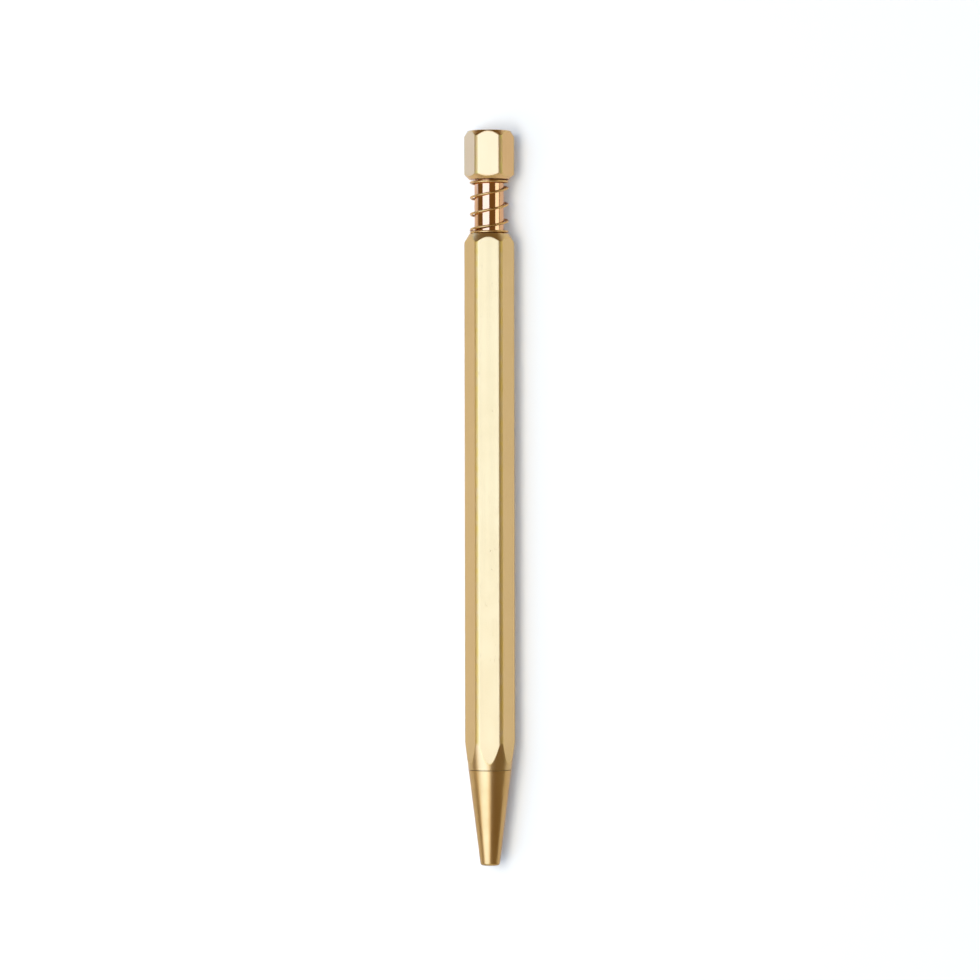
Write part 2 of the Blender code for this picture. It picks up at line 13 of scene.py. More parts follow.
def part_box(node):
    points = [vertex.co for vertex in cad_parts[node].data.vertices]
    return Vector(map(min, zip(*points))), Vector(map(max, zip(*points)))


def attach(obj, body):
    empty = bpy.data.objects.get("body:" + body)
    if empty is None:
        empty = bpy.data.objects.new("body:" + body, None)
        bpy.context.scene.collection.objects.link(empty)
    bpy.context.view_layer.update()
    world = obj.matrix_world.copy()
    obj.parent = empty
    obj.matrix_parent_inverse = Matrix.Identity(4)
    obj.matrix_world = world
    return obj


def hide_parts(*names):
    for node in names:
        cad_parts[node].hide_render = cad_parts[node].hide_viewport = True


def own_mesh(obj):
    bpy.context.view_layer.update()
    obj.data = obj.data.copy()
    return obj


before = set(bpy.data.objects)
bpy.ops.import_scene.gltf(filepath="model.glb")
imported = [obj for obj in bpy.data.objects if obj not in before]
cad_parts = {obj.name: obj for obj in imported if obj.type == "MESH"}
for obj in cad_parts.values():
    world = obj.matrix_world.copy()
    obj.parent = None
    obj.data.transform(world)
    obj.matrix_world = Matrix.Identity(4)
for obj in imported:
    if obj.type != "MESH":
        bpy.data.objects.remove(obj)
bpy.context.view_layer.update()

# Where the pen lies in the frame
MOUTH_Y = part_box("nose_cone")[0].y
AXIS_HEIGHT = (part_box("barrel")[0].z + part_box("barrel")[1].z) / 2

# Hexagonal bar of the barrel and the cap
HEX_SIDES = 6
SIDE_ANGLE = 2 * math.pi / HEX_SIDES
HALF_SIDE = SIDE_ANGLE / 2
HEX_HALF_WIDTH = 0.0040
HEX_CORNER_RADIUS = 0.00090
HEX_CLEAR_RADIUS = 0.00475
HEX_CHAMFER = math.tan(math.radians(30.0))
HEX_SOFT_EDGE = 0.00016
CORNER_EASE = 0.4
MEETING_WEAR = 0.4
MEETING_REACH = 2.0
LEAST_REACH = 1e-9

# A round piece is trimmed to a bar that is far too wide to touch it
ROUND_HALF_WIDTH = 1.0

# Stations along the pen
NOSE_TOP = 0.01718
BARREL_FOOT = 0.01725
BARREL_TOP = 0.1136
CAP_FOOT = 0.1234
CAP_TOP = 0.1321

# Taper that the nose and the foot of the barrel share
TAPER = math.tan(math.radians(7.14))
TIP_RADIUS = 0.00171
LIP_FILLET = 0.00046

# Barrel and cap
BARREL_FACE_RADIUS = 0.0036
BARREL_BORE = 0.00310
THREAD_BORE = 0.00330
THREAD_BORE_TOP = 0.0252
CAP_TOP_RADIUS = 0.0039
CAP_FOOT_RADIUS = 0.0036
CAP_FOOT_CHAMFER = math.tan(math.radians(45.0))
STUD_HOLE_RADIUS = 0.00180
STUD_HOLE_TOP = 0.1292

# Bush and knock rod
BUSH_FOOT = 0.1106
BUSH_RADIUS = 0.00307
BUSH_BORE = 0.00270
ROD_RADIUS = 0.00265
ROD_TOP = 0.1233
COLLAR_FOOT = 0.1093
COLLAR_TOP = 0.1105
COLLAR_RADIUS = 0.00305
NECK_RADIUS = 0.00200
NECK_FOOT = 0.0950
SOCKET_RADIUS = 0.00165
SOCKET_TOP = 0.1010
STUD_RADIUS = 0.00175
STUD_TOP = 0.1288

# Nose
MOUTH_RADIUS = 0.00120
MOUTH_TOP = 0.0042
WAIST_RADIUS = 0.00175
CHAMBER_FOOT = 0.0090
CHAMBER_RADIUS = 0.00235
SPIGOT_RADIUS = 0.00298
SPIGOT_TOP = 0.0249
SEAL_FOOT = 0.0176
SEAL_TOP = 0.01835
SEAL_FLOOR_RADIUS = 0.00262
SEAL_STATION = 0.017975
SEAL_RADIUS = 0.00296
SEAL_CORD_RADIUS = 0.00029

# Screw thread: a ridge on the spigot, and one in the barrel half a pitch away
THREAD_PITCH = 0.00075
THREAD_ZERO = 0.0186
NOSE_RIDGE_RADIUS = 0.00301
NOSE_RIDGE_SECTION = 0.00024
NOSE_RIDGE_FOOT = 0.01884
NOSE_RIDGE_TOP = 0.02446
BARREL_RIDGE_RADIUS = 0.00334
BARREL_RIDGE_SECTION = 0.00021
BARREL_RIDGE_FOOT = 0.01890
BARREL_RIDGE_TOP = 0.02500
THREAD_RUN_OUT = 0.4
RUN_OUT_SIZE = 0.05

# Refill
BALL_STATION = 0.0025
BALL_RADIUS = 0.0005
NIB_LIP_STATION = 0.00225
NIB_LIP_RADIUS = 0.00064
NIB_LIP_BORE = 0.00047
NIB_SEAT_RADIUS = 0.00054
NIB_RADIUS = 0.00115
NIB_CONE_TOP = 0.0044
NIB_SHOULDER = 0.0094
NIB_HEAD_FOOT = 0.00985
NIB_HEAD_TOP = 0.01185
NIB_SHANK_RADIUS = 0.00122
NIB_SHANK_TOP = 0.01585
NIB_CHANNEL = 0.00035
BALL_SEAT_STATION = 0.00305
TUBE_FOOT = 0.01195
TUBE_TOP = 0.1009
TUBE_RADIUS = 0.0016
TUBE_BORE = 0.00125
BEAD_FOOT = 0.0240
BEAD_TOP = 0.0248
BEAD_RADIUS = 0.00215

# Springs: radius at the wire's middle, wire radius, stations of the wire's middle at both ends
KNOCK_COIL = 0.00330
KNOCK_WIRE = 0.00021
KNOCK_COIL_FOOT = 0.11382
KNOCK_COIL_TOP = 0.12318
KNOCK_FIRST_TURN = -1.27
KNOCK_TURNS = 4.85
KNOCK_CLOSED_TURNS = 1.0
KNOCK_LEAN_RIGHT = 0.00015
KNOCK_LEAN_FRONT = -0.00022
KNOCK_HANG = 0.00035
FREE_AFTER_TURNS = 0.5
REFILL_COIL = 0.00198
REFILL_WIRE = 0.00018
REFILL_COIL_FOOT = 0.0092
REFILL_COIL_TOP = 0.0238
REFILL_TURNS = 10.0
REFILL_CLOSED_TURNS = 0.9
SQUARE_CUT = 0.0001

# Fineness of the meshes
BAR_COLUMNS = 44
ROUND_COLUMNS = 24
BAR_CROWDING = 0.8
FILLET_STEPS = 6
TRIM_STEP = 0.00004
WIRE_SIDES = 18
RIDGE_SIDES = 10
POINTS_PER_TURN = 72
RIDGE_POINTS_PER_TURN = 48
BLUR_STEPS = 14
MERGE_DISTANCE = 0.0000015
BALL_STEPS = 24
SEAL_STEPS = 28

# Small roundings of turned edges
CRISP = 0.00004
EASED = 0.00008
SOFT = 0.00015

# Tool lines: what fine and broad ones give to the height, and where broad ones shade
FINE_LINE_SHARE = 0.6
BROAD_LINE_SHARE = 0.4
BROAD_LINE_SCALE = 0.13
BROAD_LINE_LOW = 0.3
BROAD_LINE_HIGH = 0.7

# Scratches: their stretch, their width in the noise, and the patches that hold them
SCRATCH_STRETCH = (2600.0, 170.0, 2600.0)
SCRATCH_WIDTH = 0.012
SCRATCH_PATCH_SCALE = 420.0
SCRATCH_PATCH_LOW = 0.60
SCRATCH_PATCH_HIGH = 0.70
SCRATCH_ROUGHNESS = 0.2
SCRATCH_DEPTH = 0.6

# Worn and shaded edges: patches of an edge colour that is partly wear and partly painted shade, and small
# nicks
RUB_AND_SHADE_SCALE = 0.25
RUB_AND_SHADE_LOW = 0.25
RUB_AND_SHADE_HIGH = 0.60
RUB_AND_SHADE_SHARE = 0.9
NICK_SIZE = 0.0004
NICK_LOW = 0.64
NICK_HIGH = 0.72
NICK_SHARE = 0.7
NICK_DEPTH = 4.0

# Plain metals and soft stuff
PLAIN_CLOUD_SIZE = 0.002
PLAIN_CLOUD_CONTRAST = 2.5
PLAIN_SCRATCHES = 0.5
PLAIN_SCRATCH_DEPTH = 0.5
PLAIN_LINE_ROUGHNESS = 0.06
PLAIN_CLOUD_ROUGHNESS = 0.08
SOFT_CLOUD_SCALE = 900.0
SOFT_CLOUD_ROUGHNESS = 0.1

# Sockets of a colour Mix node, which share their names with others
MIX_SHARE = 0
MIX_FIRST = 6
MIX_SECOND = 7
MIX_RESULT = 2


class Term:
    """A socket that takes part in arithmetic; each step becomes a Math node of its tree."""

    def __init__(self, tree, socket):
        self.tree = tree
        self.socket = socket

    def step(self, operation, *values):
        """One Math node fed with these values, in this order."""
        node = self.tree.nodes.new("ShaderNodeMath")
        node.operation = operation
        for socket, value in zip(node.inputs, values):
            feed(self.tree, socket, value)
        return Term(self.tree, node.outputs["Value"])

    def __add__(self, other):
        return self.step("ADD", self, other)

    def __sub__(self, other):
        return self.step("SUBTRACT", self, other)

    def __rsub__(self, other):
        return self.step("SUBTRACT", other, self)

    def __mul__(self, other):
        return self.step("MULTIPLY", self, other)

    def __truediv__(self, other):
        return self.step("DIVIDE", self, other)

    def __rtruediv__(self, other):
        return self.step("DIVIDE", other, self)

    def function(self, operation, *others):
        """A named step, such as SINE or SMOOTH_MIN, of this term and others."""
        return self.step(operation, self, *others)

    def ranged(self, low, high, to_low, to_high, interpolation="LINEAR"):
        """This term carried from one range to another and held at its ends."""
        values = {"Value": self, "From Min": low, "From Max": high, "To Min": to_low, "To Max": to_high}
        node = add_node(self.tree, "ShaderNodeMapRange", values, interpolation_type=interpolation)
        return Term(self.tree, node.outputs["Result"])


def feed(tree, socket, value):
    """Link a term to a socket, or set the socket to a plain value."""
    if isinstance(value, Term):
        tree.links.new(value.socket, socket)
    else:
        socket.default_value = value


def add_node(tree, kind, inputs=None, **settings):
    """A node with its settings made and its inputs fed, by name or by number."""
    node = tree.nodes.new(kind)
    for name, value in settings.items():
        setattr(node, name, value)
    for name, value in (inputs or {}).items():
        feed(tree, node.inputs[name], value)
    return node


def term_of(tree, kind, output, inputs=None, **settings):
    """One output of a new node, as a term."""
    return Term(tree, add_node(tree, kind, inputs, **settings).outputs[output])


def new_tree(name, kind, inputs, outputs):
    """A node group with named sockets; gives the tree, its inputs as terms and its output node."""
    tree = bpy.data.node_groups.new(name, kind)
    for label, socket_type in inputs.items():
        tree.interface.new_socket(name=label, in_out="INPUT", socket_type=socket_type)
    for label, socket_type in outputs.items():
        tree.interface.new_socket(name=label, in_out="OUTPUT", socket_type=socket_type)
    entry = tree.nodes.new("NodeGroupInput")
    terms = {label: Term(tree, entry.outputs[label]) for label in inputs}
    return tree, terms, tree.nodes.new("NodeGroupOutput")


def round_the_axis(tree, radius, angle, station, axis_height):
    """The point at that radius and angle round the pen axis; angle 0 is the top flat."""
    across = radius * angle.function("SINE")
    up = radius * angle.function("COSINE") + axis_height
    return term_of(tree, "ShaderNodeCombineXYZ", "Vector", {"X": across, "Y": station, "Z": up})


def end_tree(tree, exit_node, geometry, finish):
    """Close a geometry tree: smooth faces, real geometry and the piece's material."""
    smooth = term_of(tree, "GeometryNodeSetShadeSmooth", "Geometry", {"Geometry": geometry})
    real = term_of(tree, "GeometryNodeRealizeInstances", "Geometry", {"Geometry": smooth})
    shown = term_of(tree, "GeometryNodeSetMaterial", "Geometry", {"Geometry": real, "Material": finish})
    feed(tree, exit_node.inputs["Geometry"], shown)


def make_turned_tree():
    """Geometry nodes that sweep an outline round the pen axis and trim it to a hexagonal bar."""
    tree, given, exit_node = new_tree(
        "turned piece",
        "GeometryNodeTree",
        {
            "Geometry": "NodeSocketGeometry",
            "Half width": "NodeSocketFloat",
            "Corner radius": "NodeSocketFloat",
            "Columns per side": "NodeSocketInt",
            "Crowding": "NodeSocketFloat",
            "Axis height": "NodeSocketFloat",
            "Finish": "NodeSocketMaterial",
        },
        {"Geometry": "NodeSocketGeometry"},
    )
    outline = given["Geometry"]
    rows = term_of(tree, "GeometryNodeAttributeDomainSize", "Point Count", {"Geometry": outline})
    columns = given["Columns per side"] * HEX_SIDES
    sheet = term_of(
        tree, "GeometryNodeMeshGrid", "Mesh", {"Vertices X": columns + 1.0, "Vertices Y": rows}
    )
    index = term_of(tree, "GeometryNodeInputIndex", "Index")
    row = index.function("FLOORED_MODULO", rows)
    column = (index / rows).function("FLOOR")

    def on_outline(value, data_type):
        """A value of the outline's own point in this row."""
        node = add_node(tree, "GeometryNodeSampleIndex", data_type=data_type)
        for socket, source in zip(node.inputs, (outline, value, row)):
            feed(tree, socket, source)
        return Term(tree, node.outputs["Value"])

    def attribute(name):
        """A value that the outline carries by this name."""
        return term_of(tree, "GeometryNodeInputNamedAttribute", "Attribute", {"Name": name})

    place = on_outline(term_of(tree, "GeometryNodeInputPosition", "Position"), "FLOAT_VECTOR")
    parts = add_node(tree, "ShaderNodeSeparateXYZ", {"Vector": place})
    turned_radius = Term(tree, parts.outputs["X"])
    station = Term(tree, parts.outputs["Y"])
    soft = on_outline(attribute("soft"), "FLOAT")
    worn_outline = on_outline(attribute("worn"), "FLOAT")

    # Angle of each column, crowded towards the corners of the bar
    side = column / given["Columns per side"]
    across = (side - side.function("FLOOR")) * 2.0 - 1.0
    bowed = (across * (math.pi / 2)).function("SINE")
    from_flat = (across + (bowed - across) * given["Crowding"]) * HALF_SIDE
    angle = side.function("FLOOR") * SIDE_ANGLE + from_flat

    # Radius of the bar: straight flats, and arcs round the corners
    width = given["Half width"]
    corner = given["Corner radius"]
    lean = from_flat.function("ABSOLUTE")
    tangent = ((width - corner) * math.tan(HALF_SIDE) / width).function("ARCTANGENT")
    flat_radius = width / lean.function("COSINE")
    to_corner = HALF_SIDE - lean
    middle = (width - corner) / math.cos(HALF_SIDE)
    offset = middle * to_corner.function("SINE")
    reach = (corner * corner - offset * offset).function("MAXIMUM", 0.0).function("SQRT")
    arc_radius = middle * to_corner.function("COSINE") + reach
    past = lean.function("GREATER_THAN", tangent)
    bar_radius = flat_radius + (arc_radius - flat_radius) * past

    # Where the bar and the turned form meet, and where the corners are, edges wear and take the edge colour,
    # which is partly painted shade
    radius = turned_radius.function("SMOOTH_MIN", bar_radius, soft)
    apart = (turned_radius - bar_radius).function("ABSOLUTE")
    meeting = apart.ranged(0.0, soft * MEETING_REACH + LEAST_REACH, MEETING_WEAR, 0.0)
    outside = turned_radius.function("GREATER_THAN", bar_radius)
    eased = tangent + (HALF_SIDE - tangent) * CORNER_EASE
    on_corner = lean.ranged(tangent, eased, 0.0, 1.0) * outside
    worn = worn_outline.function("MAXIMUM", meeting).function("MAXIMUM", on_corner)

    new_place = round_the_axis(tree, radius, angle, station, given["Axis height"])
    swept = sheet
    for label, value in (("worn", worn), ("turned", 1.0 - outside)):
        swept = term_of(
            tree, "GeometryNodeStoreNamedAttribute", "Geometry",
            {"Geometry": swept, "Name": label, "Value": value}, data_type="FLOAT", domain="POINT",
        )
    swept = term_of(tree, "GeometryNodeSetPosition", "Geometry", {"Geometry": swept, "Position": new_place})
    closed = term_of(
        tree, "GeometryNodeMergeByDistance", "Geometry", {"Geometry": swept, "Distance": MERGE_DISTANCE}
    )
    end_tree(tree, exit_node, closed, given["Finish"])
    return tree


def make_coil_tree():
    """Geometry nodes that wind a round wire along the pen axis, with closed turns at both ends."""
    tree, given, exit_node = new_tree(
        "wound wire",
        "GeometryNodeTree",
        {
            "Geometry": "NodeSocketGeometry",
            "Coil radius": "NodeSocketFloat",
            "Wire radius": "NodeSocketFloat",
            "First place": "NodeSocketFloat",
            "Last place": "NodeSocketFloat",
            "First turn": "NodeSocketFloat",
            "Turns": "NodeSocketFloat",
            "Closed turns": "NodeSocketFloat",
            "Lean right": "NodeSocketFloat",
            "Lean front": "NodeSocketFloat",
            "Hang": "NodeSocketFloat",
            "Run out": "NodeSocketFloat",
            "Points per turn": "NodeSocketInt",
            "Wire sides": "NodeSocketInt",
            "Axis height": "NodeSocketFloat",
            "Finish": "NodeSocketMaterial",
        },
        {"Geometry": "NodeSocketGeometry"},
    )
    turns = given["Turns"]
    closed_turns = given["Closed turns"]
    count = (turns * given["Points per turn"]).function("CEIL") + 1.0
    line = term_of(tree, "GeometryNodeCurvePrimitiveLine", "Curve")
    path = term_of(tree, "GeometryNodeResampleCurve", "Curve", {"Curve": line, "Count": count})
    index = term_of(tree, "GeometryNodeInputIndex", "Index")
    wound = index / (count - 1.0) * turns
    left = turns - wound
    angle = (given["First turn"] + wound) * (2 * math.pi)

    # Height along the pen: closed turns lie on each other, and the others share the rest
    stacked = closed_turns * given["Wire radius"] * 2.0
    opened = given["Last place"] - given["First place"] - stacked * 2.0
    rise = (
        given["First place"]
        + wound.ranged(0.0, closed_turns, 0.0, stacked)
        + wound.ranged(closed_turns, turns - closed_turns, 0.0, opened)
        + wound.ranged(turns - closed_turns, turns, 0.0, stacked)
    )
    rise = term_of(
        tree, "GeometryNodeBlurAttribute", "Value", {"Value": rise, "Iterations": BLUR_STEPS}
    )

    # Free turns lean and hang; closed ones stay square to the pen
    free_from = closed_turns + FREE_AFTER_TURNS
    free = (
        wound.ranged(closed_turns, free_from, 0.0, 1.0, "SMOOTHSTEP")
        * left.ranged(closed_turns, free_from, 0.0, 1.0, "SMOOTHSTEP")
    )
    sway = given["Lean right"] * angle.function("SINE") + given["Lean front"] * angle.function("COSINE")
    middle = given["Axis height"] - given["Hang"] * free
    place = round_the_axis(tree, given["Coil radius"], angle, rise + sway * free, middle)
    helix = term_of(tree, "GeometryNodeSetPosition", "Geometry", {"Geometry": path, "Position": place})

    section = term_of(
        tree, "GeometryNodeCurvePrimitiveCircle", "Curve",
        {"Resolution": given["Wire sides"], "Radius": given["Wire radius"]},
    )
    run_out = given["Run out"]
    swell = (
        wound.ranged(0.0, run_out, RUN_OUT_SIZE, 1.0)
        * left.ranged(0.0, run_out, RUN_OUT_SIZE, 1.0)
    )
    wire = term_of(
        tree, "GeometryNodeCurveToMesh", "Mesh",
        {"Curve": helix, "Profile Curve": section, "Scale": swell, "Fill Caps": True},
    )
    end_tree(tree, exit_node, wire, given["Finish"])
    return tree


def grow(name, base, tree, values):
    """A finished piece: the tree run on a base mesh with these inputs, kept as a plain mesh."""
    obj = bpy.data.objects.new(name, base)
    bpy.context.scene.collection.objects.link(obj)
    modifier = obj.modifiers.new("form", "NODES")
    modifier.node_group = tree
    for item in tree.interface.items_tree:
        if item.in_out == "INPUT" and item.name in values:
            modifier[item.identifier] = values[item.name]
    evaluated = obj.evaluated_get(bpy.context.evaluated_depsgraph_get())
    mesh = bpy.data.meshes.new_from_object(evaluated)
    obj.modifiers.remove(modifier)
    obj.data = mesh
    mesh.name = name
    bpy.data.meshes.remove(base)
    work = bmesh.new()
    work.from_mesh(mesh)
    bmesh.ops.recalc_face_normals(work, faces=work.faces[:])
    work.to_mesh(mesh)
    work.free()
    return obj


def eased_corner(before, here, after, fillet):
    """Points of a small arc in place of a corner of an outline, each with its share of wear and of the
    painted edge shade.
    """
    here = Vector(here)
    back = (Vector(before) - here).normalized()
    on = (Vector(after) - here).normalized()
    half = back.angle(on) / 2
    reach = fillet / math.tan(half)
    centre = here + (back + on).normalized() * (fillet / math.sin(half))
    start = here + back * reach - centre
    turn = start.angle_signed(here + on * reach - centre)
    points = []
    for step in range(FILLET_STEPS + 1):
        share = step / FILLET_STEPS
        spoke = Matrix.Rotation(-turn * share, 2) @ start
        points.append((*(centre + spoke), math.sin(math.pi * share)))
    return points


def outline_mesh(name, corners, closed):
    """The outline of a turned piece as a mesh line; corners are (radius, station, fillet)."""
    count = len(corners)
    points = []
    for number, (radius, station, fillet) in enumerate(corners):
        inner = closed or 0 < number < count - 1
        if fillet and inner:
            before = corners[number - 1][:2]
            after = corners[(number + 1) % count][:2]
            points += eased_corner(before, (radius, station), after, fillet)
        else:
            points.append((radius, station, 0.0))
    if closed:
        points.append(points[0])

    # Sloping stretches that meet the hexagon get close rows
    rows = [(*points[0], 0.0)]
    for here, there in zip(points, points[1:]):
        rise = there[0] - here[0]
        run = abs(there[1] - here[1])
        trimmed = max(here[0], there[0]) > HEX_HALF_WIDTH and run > 0 and abs(rise) > 0
        steps = math.ceil(run / TRIM_STEP) if trimmed else 1
        soft = HEX_SOFT_EDGE * abs(rise) / run if trimmed else 0.0
        for step in range(1, steps + 1):
            share = step / steps
            mixed = [a + (b - a) * share for a, b in zip(here, there)]
            rows.append((*mixed, soft))

    mesh = bpy.data.meshes.new(name)
    mesh.from_pydata(
        [(radius, MOUTH_Y + station, 0.0) for radius, station, worn, soft in rows],
        [(n, n + 1) for n in range(len(rows) - 1)],
        [],
    )
    for label, place in (("worn", 2), ("soft", 3)):
        attribute = mesh.attributes.new(label, "FLOAT", "POINT")
        attribute.data.foreach_set("value", [row[place] for row in rows])
    return mesh


def turned(name, corners, finish, closed=True, hexagonal=False):
    """A piece turned round the pen axis, from hexagonal bar or round bar."""
    values = {
        "Half width": HEX_HALF_WIDTH if hexagonal else ROUND_HALF_WIDTH,
        "Corner radius": HEX_CORNER_RADIUS,
        "Columns per side": BAR_COLUMNS if hexagonal else ROUND_COLUMNS,
        "Crowding": BAR_CROWDING if hexagonal else 0.0,
        "Axis height": AXIS_HEIGHT,
        "Finish": finish,
    }
    return grow(name, outline_mesh(name + "_outline", corners, closed), turned_tree, values)


def coiled(name, finish, **sizes):
    """A piece wound round the pen axis; sizes name the tree's inputs in lower case with underscores."""
    values = {"Axis height": AXIS_HEIGHT, "Finish": finish}
    for label, value in sizes.items():
        values[label.replace("_", " ").capitalize()] = value
    return grow(name, bpy.data.meshes.new(name + "_base"), coil_tree, values)


def settle(obj, body, slot, *nodes):
    """Let a piece ride its body and stand for its nodes, which it hides; its slot is not used."""
    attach(obj, body)
    if nodes:
        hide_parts(*nodes)


def blend_colours(tree, share, first, second):
    """A colour mixed from two by a share."""
    values = {MIX_SHARE: share, MIX_FIRST: first, MIX_SECOND: second}
    return term_of(tree, "ShaderNodeMix", MIX_RESULT, values, data_type="RGBA")


def noise(tree, place, scale, detail=2.0, roughness=0.5):
    """Soft noise from 0 to 1 at a place."""
    values = {"Vector": place, "Scale": scale, "Detail": detail, "Roughness": roughness}
    return term_of(tree, "ShaderNodeTexNoise", "Fac", values)


def make_grain_group():
    """Fine lines: along the pen on drawn bar, round it on turned brass."""
    tree, given, exit_node = new_tree(
        "tool lines",
        "ShaderNodeTree",
        {"Across": "NodeSocketFloat", "Along": "NodeSocketFloat"},
        {"Height": "NodeSocketFloat", "Shade": "NodeSocketFloat"},
    )
    place = term_of(tree, "ShaderNodeTexCoord", "Object")
    parts = add_node(tree, "ShaderNodeSeparateXYZ", {"Vector": place})
    x, y, z = (Term(tree, parts.outputs[name]) for name in "XYZ")
    scaled = {"X": x * given["Across"], "Y": y * given["Along"], "Z": z * given["Across"]}
    lines = term_of(tree, "ShaderNodeCombineXYZ", "Vector", scaled)
    fine = noise(tree, lines, 1.0, detail=3.0, roughness=0.6)
    broad = noise(tree, lines, BROAD_LINE_SCALE)
    feed(tree, exit_node.inputs["Height"], fine * FINE_LINE_SHARE + broad * BROAD_LINE_SHARE)
    feed(tree, exit_node.inputs["Shade"], broad.ranged(BROAD_LINE_LOW, BROAD_LINE_HIGH, 0.0, 1.0))
    return tree


def make_tarnish_group():
    """Handling marks: clouds of tarnish and sparse fine scratches."""
    tree, given, exit_node = new_tree(
        "handling marks",
        "ShaderNodeTree",
        {
            "Cloud size": "NodeSocketFloat",
            "Cloud contrast": "NodeSocketFloat",
            "Scratches": "NodeSocketFloat",
        },
        {"Tarnish": "NodeSocketFloat", "Scratch": "NodeSocketFloat"},
    )
    place = term_of(tree, "ShaderNodeTexCoord", "Object")
    clouds = noise(tree, place, 1.0 / given["Cloud size"], detail=5.0, roughness=0.55)
    tarnish = (clouds - 0.5) * given["Cloud contrast"] + 0.5
    feed(tree, exit_node.inputs["Tarnish"], tarnish.ranged(0.0, 1.0, 0.0, 1.0))
    drawn_out = term_of(
        tree, "ShaderNodeMapping", "Vector", {"Vector": place, "Scale": SCRATCH_STRETCH}
    )
    lines = noise(tree, drawn_out, 1.0, detail=1.0, roughness=0.4)
    thin = (lines - 0.5).function("ABSOLUTE").ranged(0.0, SCRATCH_WIDTH, 1.0, 0.0)
    patches = noise(tree, place, SCRATCH_PATCH_SCALE, detail=1.0)
    sparse = patches.ranged(SCRATCH_PATCH_LOW, SCRATCH_PATCH_HIGH, 0.0, 1.0)
    feed(tree, exit_node.inputs["Scratch"], thin * sparse * given["Scratches"])
    return tree


def make_wear_and_shade_group():
    """Edge wear and painted edge shade: patches where an edge colour goes, partly wear and partly painted
    shade, and small nicks, from the piece's own worn attribute.
    """
    tree, given, exit_node = new_tree(
        "edge wear and shade",
        "ShaderNodeTree",
        {"Nick size": "NodeSocketFloat"},
        {"Edge": "NodeSocketFloat", "Rub and shade": "NodeSocketFloat", "Nick": "NodeSocketFloat"},
    )
    worn = term_of(tree, "ShaderNodeAttribute", "Fac", attribute_name="worn")
    place = term_of(tree, "ShaderNodeTexCoord", "Object")
    patches = noise(tree, place, RUB_AND_SHADE_SCALE / given["Nick size"], detail=3.0, roughness=0.6)
    specks = noise(tree, place, 1.0 / given["Nick size"])
    feed(tree, exit_node.inputs["Edge"], worn)
    feed(tree, exit_node.inputs["Rub and shade"], worn * patches.ranged(RUB_AND_SHADE_LOW, RUB_AND_SHADE_HIGH, 0.0, 1.0))
    feed(tree, exit_node.inputs["Nick"], worn * specks.ranged(NICK_LOW, NICK_HIGH, 0.0, 1.0))
    return tree


def group_in(tree, group, values):
    """A node group placed in a material; gives its outputs as terms."""
    node = add_node(tree, "ShaderNodeGroup", node_tree=group)
    for label, value in values.items():
        feed(tree, node.inputs[label], value)
    return {socket.name: Term(tree, socket) for socket in node.outputs}


def new_material(name, metallic):
    """A metal, at 1, or another stuff, at 0; gives the material, its tree and its shader."""
    material = bpy.data.materials.new(name)
    material.use_nodes = True
    shader = material.node_tree.nodes["Principled BSDF"]
    shader.inputs["Metallic"].default_value = metallic
    return material, material.node_tree, shader


def finish_surface(tree, shader, tint, rough, height, depth):
    """Give a shader its colour, its roughness and a relief of that depth."""
    relief = {"Strength": 1.0, "Distance": depth, "Height": height}
    feed(tree, shader.inputs["Base Color"], tint)
    feed(tree, shader.inputs["Roughness"], rough)
    feed(tree, shader.inputs["Normal"], term_of(tree, "ShaderNodeBump", "Normal", relief))


def brass(name, colours, roughness, spread, edge, cut, lines, depth, clouds, scratches):
    """Brass with tool lines, clouds of tarnish, scratches, and edges tinted partly by wear and partly with
    painted shade.

    The colours are clean, tarnished, and an edge colour laid on worn corners, partly wear and partly painted
    shade of the edge bands; edge and cut roughen those edges and what was turned off a bar; lines are
    counted across and along the pen in each metre; clouds are their size and their contrast.
    """
    clean, tarnished, rub_and_shade_colour = [(*colour, 1.0) for colour in colours]
    material, tree, shader = new_material(name, 1.0)
    tool = group_in(tree, grain_group, {"Across": lines[0], "Along": lines[1]})
    handling = {"Cloud size": clouds[0], "Cloud contrast": clouds[1], "Scratches": scratches}
    marks = group_in(tree, tarnish_group, handling)
    edges = group_in(tree, wear_and_shade_group, {"Nick size": NICK_SIZE})
    tint = blend_colours(tree, marks["Tarnish"], clean, tarnished)
    # Edge colour on worn corners and edges: partly wear, partly painted shade of the edge bands
    tint = blend_colours(tree, edges["Rub and shade"] * RUB_AND_SHADE_SHARE, tint, rub_and_shade_colour)
    tint = blend_colours(tree, edges["Nick"] * NICK_SHARE, tint, tarnished)
    turned_off = term_of(tree, "ShaderNodeAttribute", "Fac", attribute_name="turned")
    rough = (
        tool["Shade"] * spread
        + marks["Tarnish"] * spread
        + marks["Scratch"] * SCRATCH_ROUGHNESS
        + roughness
        + (edges["Edge"] * edge).function("MAXIMUM", turned_off * cut)
    )
    height = tool["Height"] - marks["Scratch"] * SCRATCH_DEPTH - edges["Nick"] * NICK_DEPTH
    finish_surface(tree, shader, tint, rough, height, depth)
    return material


def plain_metal(name, colour, dull, roughness, lines, depth):
    """Metal without edge wear: tool lines, counted as for brass, and a light dulling."""
    material, tree, shader = new_material(name, 1.0)
    tool = group_in(tree, grain_group, {"Across": lines[0], "Along": lines[1]})
    handling = {
        "Cloud size": PLAIN_CLOUD_SIZE,
        "Cloud contrast": PLAIN_CLOUD_CONTRAST,
        "Scratches": PLAIN_SCRATCHES,
    }
    marks = group_in(tree, tarnish_group, handling)
    tint = blend_colours(tree, marks["Tarnish"], (*colour, 1.0), (*dull, 1.0))
    rough = (
        tool["Shade"] * PLAIN_LINE_ROUGHNESS
        + marks["Tarnish"] * PLAIN_CLOUD_ROUGHNESS
        + roughness
    )
    height = tool["Height"] - marks["Scratch"] * PLAIN_SCRATCH_DEPTH
    finish_surface(tree, shader, tint, rough, height, depth)
    return material


